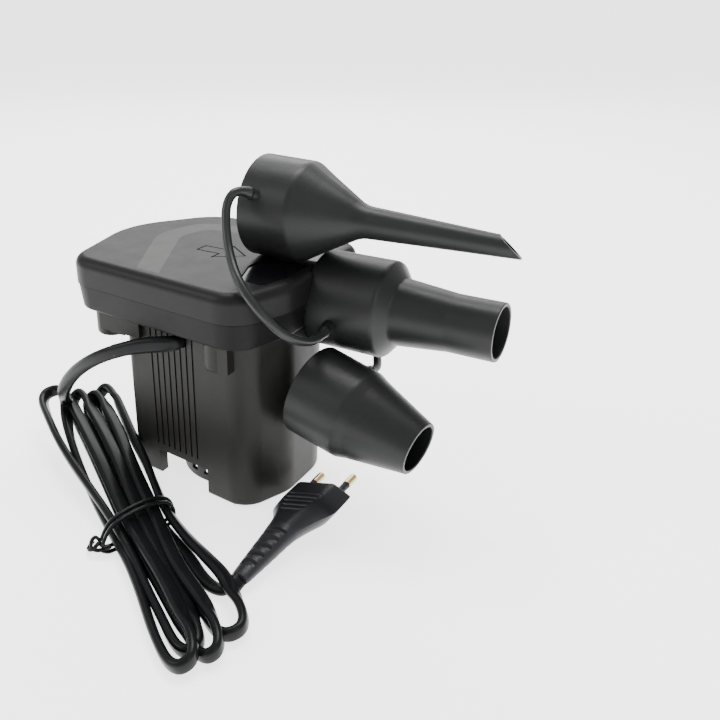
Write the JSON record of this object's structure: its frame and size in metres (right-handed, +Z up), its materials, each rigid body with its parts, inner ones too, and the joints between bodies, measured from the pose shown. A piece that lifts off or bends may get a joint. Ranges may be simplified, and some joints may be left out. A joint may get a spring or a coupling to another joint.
{
  "type": "electric air mattress pump",
  "caption": "Hand-held electric air pump with an upright motor housing, a flat fan head, a round outlet, tethered push-on nozzles and a mains cord.",
  "frame": {"origin": "on the floor under the motor axis", "axes": "+X along the outlet, the way the air blows; -Y the side that the cord leaves; +Z up"},
  "size_m": [0.2454, 0.1995, 0.1623],
  "materials": {
    "housing_plastic": "fine moulded texture",
    "cover_plastic": "fine moulded texture",
    "band_plastic": "satin band",
    "panel_plastic": "polished",
    "gasket_rubber": "soft",
    "foot_rubber": "soft",
    "screw_steel": "zinc plated",
    "can_steel": "drawn can",
    "end_bell_plastic": "moulded",
    "magnet_ferrite": "sintered ferrite",
    "bearing_bronze": "sintered bronze",
    "brush_brass": "pressed",
    "brush_carbon": "carbon",
    "shaft_steel": "ground",
    "core_steel": "laminated",
    "winding_copper": "enamelled copper wire",
    "commutator_copper": "turned copper",
    "impeller_plastic": "moulded nylon",
    "bracket_steel": "zinc plated sheet",
    "board_laminate": "paper laminate",
    "component_plastic": "moulded",
    "capacitor_plastic": "moulded",
    "fuse_metal": "satin",
    "wire_insulation": "extruded",
    "cord_vinyl": "glossy flexible vinyl",
    "tie_vinyl": "flexible vinyl over wire",
    "plug_vinyl": "satin flexible vinyl",
    "sleeve_plastic": "moulded",
    "pin_brass": "bright",
    "nozzle_plastic": "satin soft plastic",
    "strap_rubber": "smooth"
  },
  "bodies": {
    "pump": {"board_posts": "housing_plastic", "bracket_screws": "screw_steel", "bridge_diodes": "component_plastic", "brush_holders": "brush_brass", "brush_springs": "screw_steel", "carbon_brushes": "brush_carbon", "cord_boot": "cord_vinyl", "cord_hank": "cord_vinyl", "cord_lead": "cord_vinyl", "cord_tie": "tie_vinyl", "cover_band": "band_plastic", "cover_screws": "screw_steel", "field_magnets": "magnet_ferrite", "foot_pads": "foot_rubber", "head_gasket": "gasket_rubber", "head_tray": "housing_plastic", "inlet_grille": "housing_plastic", "lower_bearing": "bearing_bronze", "mains_wires": "wire_insulation", "motor_bracket": "bracket_steel", "motor_can": "can_steel", "motor_end_bell": "end_bell_plastic", "motor_housing": "housing_plastic", "motor_screws": "screw_steel", "motor_wires": "wire_insulation", "outlet_panel": "panel_plastic", "pin_sleeves": "sleeve_plastic", "plug_body": "plug_vinyl", "plug_pins": "pin_brass", "plug_relief": "plug_vinyl", "rectifier_board": "board_laminate", "suppression_capacitor": "capacitor_plastic", "thermal_fuse": "fuse_metal", "top_cover": "cover_plastic", "upper_bearing": "bearing_bronze"},
    "rotor": {"motor_shaft": "shaft_steel", "armature_core": "core_steel", "armature_winding": "winding_copper", "commutator": "commutator_copper", "impeller": "impeller_plastic", "impeller_nut": "screw_steel"},
    "outlet_adapter": {"stepped_nozzle": "nozzle_plastic"},
    "needle_tip": {"needle_nozzle": "nozzle_plastic", "needle_strap": "strap_rubber"},
    "cone_tip": {"cone_nozzle": "nozzle_plastic", "cone_strap": "strap_rubber"}
  },
  "joints": [
    {"name": "rotor_spin", "type": "hinge", "parent": "pump", "child": "rotor", "pos_m": [0, 0, 0.06], "axis": [0, 0, 1], "continuous": true},
    {"name": "adapter_pull", "type": "slide", "parent": "pump", "child": "outlet_adapter", "axis": [1, 0, 0], "range_m": [0, 0.03]},
    {"name": "needle_lift", "type": "hinge", "parent": "outlet_adapter", "child": "needle_tip", "pos_m": [0.009, 0.012, 0.115], "axis": [0, -1, 0], "range_deg": [0, 30]},
    {"name": "cone_swing", "type": "hinge", "parent": "outlet_adapter", "child": "cone_tip", "pos_m": [0.07, 0.018, 0.0716], "axis": [1, 0, 0], "range_deg": [0, 35]}
  ]
}
